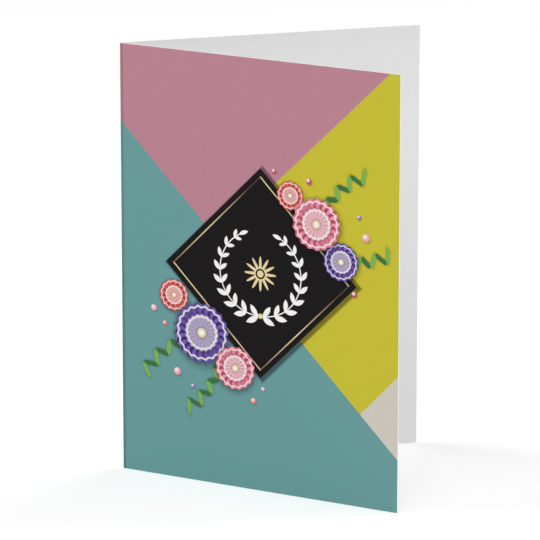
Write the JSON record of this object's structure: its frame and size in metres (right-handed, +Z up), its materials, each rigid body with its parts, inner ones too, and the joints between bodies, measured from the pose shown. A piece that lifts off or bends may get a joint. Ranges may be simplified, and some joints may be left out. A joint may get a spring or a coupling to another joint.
{
  "type": "greeting card",
  "caption": "Folded greeting card of stiff board: upright panels joined by a creased fold, standing part open on their lower cut edges.",
  "frame": {"origin": "middle of the footprint's bounding box, on the surface the card stands on", "axes": "+Z up along the fold; the fold is at the -X end, the printed front panel swings towards -Y and the back panel towards +Y"},
  "size_m": [0.097, 0.0812, 0.148],
  "materials": {
    "printed_board": "smooth white board, satin print on the front panel, bare inside and back"
  },
  "bodies": {
    "root": {"folded_card": "printed_board"}
  },
  "joints": []
}
